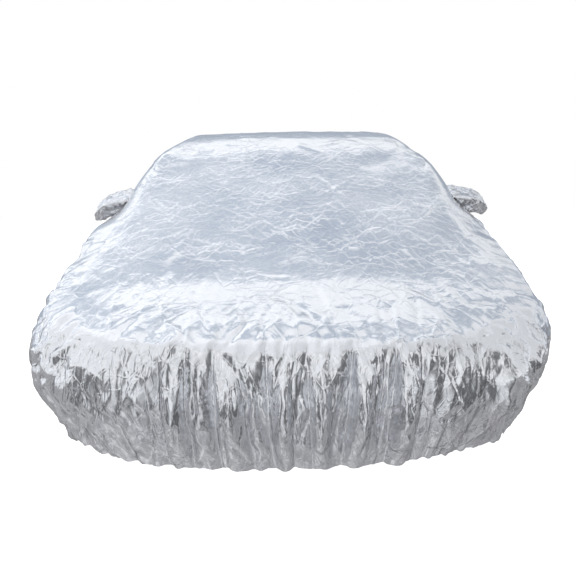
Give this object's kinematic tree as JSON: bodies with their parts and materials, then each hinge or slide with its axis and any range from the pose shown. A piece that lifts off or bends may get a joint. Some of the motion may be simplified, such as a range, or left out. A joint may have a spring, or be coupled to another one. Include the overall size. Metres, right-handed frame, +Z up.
{
  "type": "car cover",
  "caption": "Loose silver cover for a saloon car, with a gathered hem and a pocket for each door mirror.",
  "frame": {"origin": "underside of the roof at its middle, where the cover hangs on the roof of what it covers", "axes": "+Z up, +Y from the cover's front to its rear, +X to the right of a viewer who faces its front"},
  "size_m": [1.9226, 4.6106, 1.2603],
  "materials": {
    "silver_cloth": "silver-coated woven cloth, satin sheen, finely crumpled"
  },
  "bodies": {
    "root": {"cover_body": "silver_cloth", "mirror_pocket_left": "silver_cloth", "mirror_pocket_right": "silver_cloth"}
  },
  "joints": []
}
